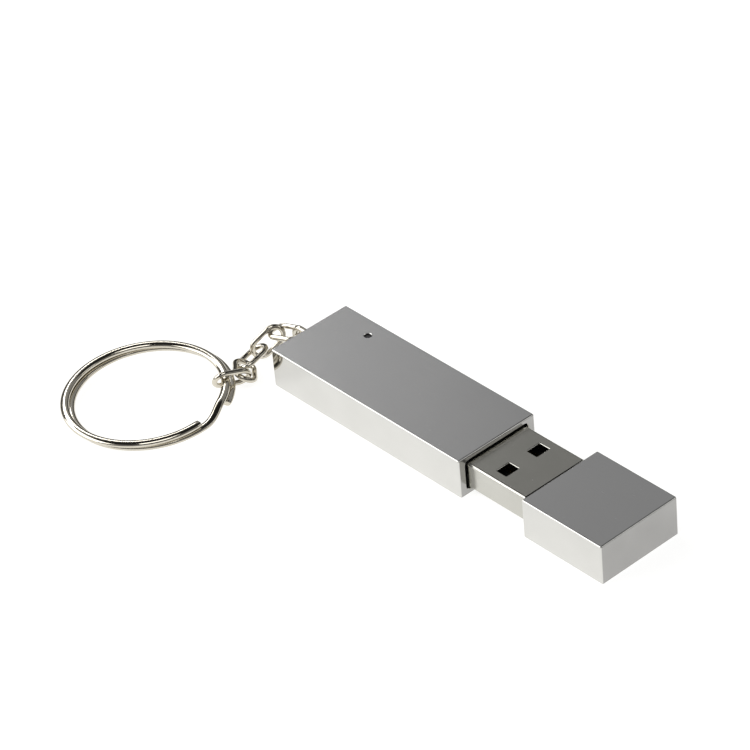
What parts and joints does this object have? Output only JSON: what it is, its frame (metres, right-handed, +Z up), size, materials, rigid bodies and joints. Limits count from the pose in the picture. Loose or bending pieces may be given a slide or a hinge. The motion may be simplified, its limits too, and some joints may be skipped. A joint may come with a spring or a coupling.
{
  "type": "usb flash drive",
  "caption": "Rectangular metal bar USB flash drive with a slip-off cap, a short link chain and a split key ring.",
  "frame": {"origin": "middle of the case's underside, on the surface that the drive lies on", "axes": "+X along the case to the plug and cap, +Z up, square to the case's wide top face, +Y across the case"},
  "size_m": [0.0937, 0.0443, 0.0068],
  "materials": {
    "case_metal": "polished sides, satin top",
    "plug_steel": "plated sheet steel",
    "nickel_wire": "nickel plated",
    "black_plastic": "moulded",
    "gold_contact": "gold plated",
    "board_laminate": "solder mask",
    "chip_resin": "moulded resin",
    "crystal_can": "stamped can",
    "capacitor_ceramic": "fired ceramic",
    "resistor_film": "glazed",
    "led_lens": "lens",
    "clear_plastic": "clear moulded"
  },
  "bodies": {
    "drive": {"body_case": "case_metal", "usb_plug_shell": "plug_steel", "key_eyelet": "nickel_wire", "plug_tongue": "black_plastic", "carrier_tray": "black_plastic", "carrier_cover": "black_plastic", "contact_power": "gold_contact", "contact_data_minus": "gold_contact", "contact_data_plus": "gold_contact", "contact_ground": "gold_contact", "circuit_board": "board_laminate", "flash_memory": "chip_resin", "controller_chip": "chip_resin", "voltage_regulator": "chip_resin", "crystal": "crystal_can", "capacitor_1": "capacitor_ceramic", "capacitor_2": "capacitor_ceramic", "capacitor_3": "capacitor_ceramic", "resistor_1": "resistor_film", "resistor_2": "resistor_film", "status_led": "led_lens", "light_pipe": "clear_plastic"},
    "cap": {"cap_shell": "case_metal", "cap_liner": "black_plastic"},
    "link_1": {"chain_link_1": "nickel_wire"},
    "link_2": {"chain_link_2": "nickel_wire"},
    "link_3": {"chain_link_3": "nickel_wire"},
    "link_4": {"chain_link_4": "nickel_wire"},
    "link_5": {"chain_link_5": "nickel_wire"},
    "ring": {"split_ring": "nickel_wire"}
  },
  "joints": [
    {"name": "cap_slide", "type": "slide", "parent": "drive", "child": "cap", "axis": [1, 0, 0], "range_m": [-0.0128, 0.008]},
    {"name": "link_1_swing", "type": "hinge", "parent": "drive", "child": "link_1", "pos_m": [-0.02325, -0.0005, 0.00465], "axis": [0, 0, 1], "range_deg": [-30, 5]},
    {"name": "link_2_swing", "type": "hinge", "parent": "link_1", "child": "link_2", "pos_m": [-0.02621, -0.00145, 0.00399], "axis": [-0.178, -0.0769, 0.981], "range_deg": [-20, 6]},
    {"name": "link_3_swing", "type": "hinge", "parent": "link_2", "child": "link_3", "pos_m": [-0.02721, -0.00433, 0.00194], "axis": [0.9304, -0.013, 0.3664], "range_deg": [-15, 10]},
    {"name": "link_4_swing", "type": "hinge", "parent": "link_3", "child": "link_4", "pos_m": [-0.02695, -0.00803, 0.00115], "axis": [-0.3602, -0.2184, 0.9069], "range_deg": [-20, 10]},
    {"name": "link_5_swing", "type": "hinge", "parent": "link_4", "child": "link_5", "pos_m": [-0.02391, -0.0104, 0.0017], "axis": [0, 0, 1], "range_deg": [-3, 20]},
    {"name": "ring_swing", "type": "hinge", "parent": "link_5", "child": "ring", "pos_m": [-0.02477, -0.01305, 0.00219], "axis": [0.4359, 0.0252, 0.8997], "range_deg": [-3, 20]}
  ]
}
